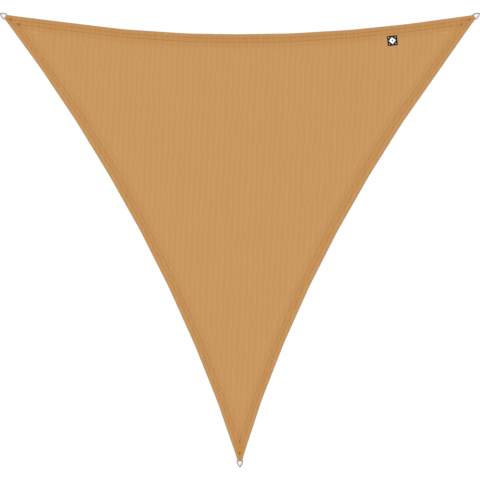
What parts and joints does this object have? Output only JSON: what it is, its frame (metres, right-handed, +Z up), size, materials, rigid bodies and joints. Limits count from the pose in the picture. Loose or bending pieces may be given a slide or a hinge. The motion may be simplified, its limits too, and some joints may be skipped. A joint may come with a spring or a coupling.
{
  "type": "shade sail",
  "caption": "Triangular shade sail with hollow hemmed edges, a delta ring folded into each end and a small label, laid flat.",
  "frame": {"origin": "on the floor, under the middle of the box round the whole sail with its rings", "axes": "+X from the left ring towards the right one along the widest edge, +Y from the bottom ring towards that edge, +Z up out of the face of the cloth"},
  "size_m": [3.6008, 3.4066, 0.0098],
  "materials": {
    "cloth": "sand-brown knitted shade cloth, matt",
    "ring_steel": "polished stainless wire",
    "label_weave": "black woven label with a plain pale motif"
  },
  "bodies": {
    "root": {"sail": "cloth", "ring_left": "ring_steel", "ring_right": "ring_steel", "ring_bottom": "ring_steel", "label": "label_weave"}
  },
  "joints": []
}
